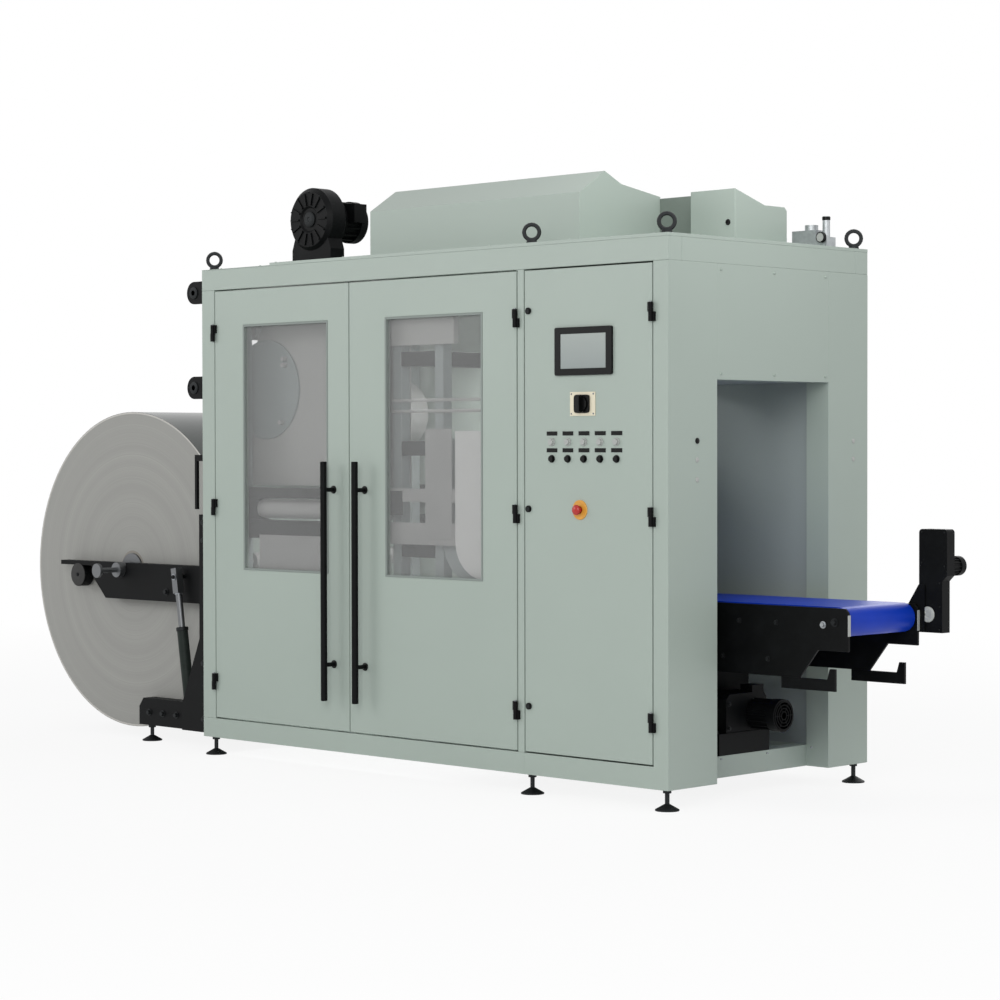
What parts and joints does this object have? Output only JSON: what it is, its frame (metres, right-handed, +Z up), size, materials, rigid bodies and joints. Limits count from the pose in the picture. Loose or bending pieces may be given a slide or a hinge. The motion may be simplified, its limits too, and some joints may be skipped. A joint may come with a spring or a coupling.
{
  "type": "form fill seal machine",
  "caption": "Horizontal form, fill and seal bagging machine: cabinet with windowed doors, film reel on lifting arms at one end, belt conveyor out of the other.",
  "frame": {"origin": "on the floor at the middle of the front left levelling foot's pad", "axes": "+X along the machine from the film reel to the discharge conveyor, +Y from the door side to the back, +Z up"},
  "size_m": [4.91, 1.3159, 2.498],
  "materials": {
    "body_paint": "satin powder coat",
    "inner_paint": "satin powder coat",
    "window_glass": "smoked pane",
    "dark_paint": "satin black paint",
    "black_hinge": "black coated",
    "zinc_steel": "zinc plated",
    "bright_steel": "ground steel",
    "film": "wound plastic film",
    "belt_blue": "coated belt",
    "screen": "touch panel",
    "switch_yellow": "moulded plate",
    "black_plastic": "moulded",
    "stop_red": "moulded"
  },
  "bodies": {
    "root": {"bag_guide_bars": "dark_paint", "blower_casing": "dark_paint", "blower_motor": "dark_paint", "control_cabinet": "body_paint", "conveyor_bed": "dark_paint", "conveyor_belt": "belt_blue", "conveyor_rollers": "bright_steel", "conveyor_side_plates": "dark_paint", "conveyor_stand": "dark_paint", "cover_panels": "body_paint", "cross_rails": "body_paint", "drive_cover": "dark_paint", "drive_motor": "dark_paint", "end_header": "body_paint", "filling_chute": "inner_paint", "film_rollers": "bright_steel", "frame_hinges": "black_hinge", "hood_duct": "dark_paint", "inner_beams": "dark_paint", "inner_uprights": "inner_paint", "levelling_feet": "dark_paint", "lift_gearmotor": "dark_paint", "lifting_eyes": "dark_paint", "long_rails": "body_paint", "main_hood": "body_paint", "posts": "body_paint", "rear_column": "body_paint", "rear_hood": "body_paint", "roller_brackets": "dark_paint", "roof_fittings": "zinc_steel", "roof_plates": "body_paint", "seal_bars": "dark_paint", "tunnel_lining": "inner_paint", "unwinder_base": "dark_paint", "unwinder_posts": "dark_paint"},
    "left_door": {"left_door_leaf": "body_paint", "left_door_window": "window_glass", "left_door_handle": "dark_paint", "left_door_hinges": "black_hinge"},
    "right_door": {"right_door_leaf": "body_paint", "right_door_window": "window_glass", "right_door_handle": "dark_paint", "right_door_hinges": "black_hinge"},
    "control_door": {"control_door_leaf": "body_paint", "control_door_hinges": "black_hinge", "operator_screen": "screen", "main_switch_plate": "switch_yellow", "push_buttons": "black_plastic", "emergency_stop": "stop_red", "door_locks": "black_hinge"},
    "switch_knob": {"main_switch_knob": "black_plastic"},
    "arms": {"lift_arms": "dark_paint"},
    "reel": {"film_reel": "film", "reel_shaft": "bright_steel"},
    "lift_barrels": {"cylinder_barrels": "dark_paint"},
    "lift_rods": {"cylinder_rods": "bright_steel"},
    "upper_guide": {"upper_guide_roller": "bright_steel"},
    "lower_guide": {"lower_guide_roller": "bright_steel"}
  },
  "joints": [
    {"name": "left_door_hinge", "type": "hinge", "parent": "root", "child": "left_door", "pos_m": [0.048, -0.052, 1.102], "axis": [0, 0, -1], "range_deg": [0, 110]},
    {"name": "right_door_hinge", "type": "hinge", "parent": "root", "child": "right_door", "pos_m": [1.905, -0.052, 1.102], "axis": [0, 0, 1], "range_deg": [0, 110]},
    {"name": "control_door_hinge", "type": "hinge", "parent": "root", "child": "control_door", "pos_m": [2.61, -0.052, 1.102], "axis": [0, 0, 1], "range_deg": [0, 110]},
    {"name": "main_switch_turn", "type": "hinge", "parent": "control_door", "child": "switch_knob", "pos_m": [2.257, -0.058, 1.53], "axis": [0, -1, 0], "range_deg": [0, 90]},
    {"name": "arm_lift", "type": "hinge", "parent": "root", "child": "arms", "pos_m": [-0.085, 0.579, 0.74], "axis": [0, -1, 0], "range_deg": [0, 3.5]},
    {"name": "reel_spin", "type": "hinge", "parent": "arms", "child": "reel", "pos_m": [-0.83, 0.579, 0.792], "axis": [0, 1, 0], "continuous": true},
    {"name": "barrel_tilt", "type": "hinge", "parent": "root", "child": "lift_barrels", "pos_m": [-0.266, 0.579, 0.15], "axis": [0, -1, 0], "range_deg": [0, 0.5]},
    {"name": "rod_slide", "type": "slide", "parent": "lift_barrels", "child": "lift_rods", "axis": [-0.1518, 0, 0.9884], "range_m": [-0.017, 0]},
    {"name": "upper_guide_spin", "type": "hinge", "parent": "root", "child": "upper_guide", "pos_m": [-0.11, 0.579, 2.055], "axis": [0, 1, 0], "continuous": true},
    {"name": "lower_guide_spin", "type": "hinge", "parent": "root", "child": "lower_guide", "pos_m": [-0.11, 0.579, 1.632], "axis": [0, 1, 0], "continuous": true}
  ],
  "couplings": [
    {"joint": "barrel_tilt", "follows": "arm_lift", "ratio": 0.1125},
    {"joint": "rod_slide", "follows": "arm_lift", "m_per_rad": -0.2705}
  ]
}
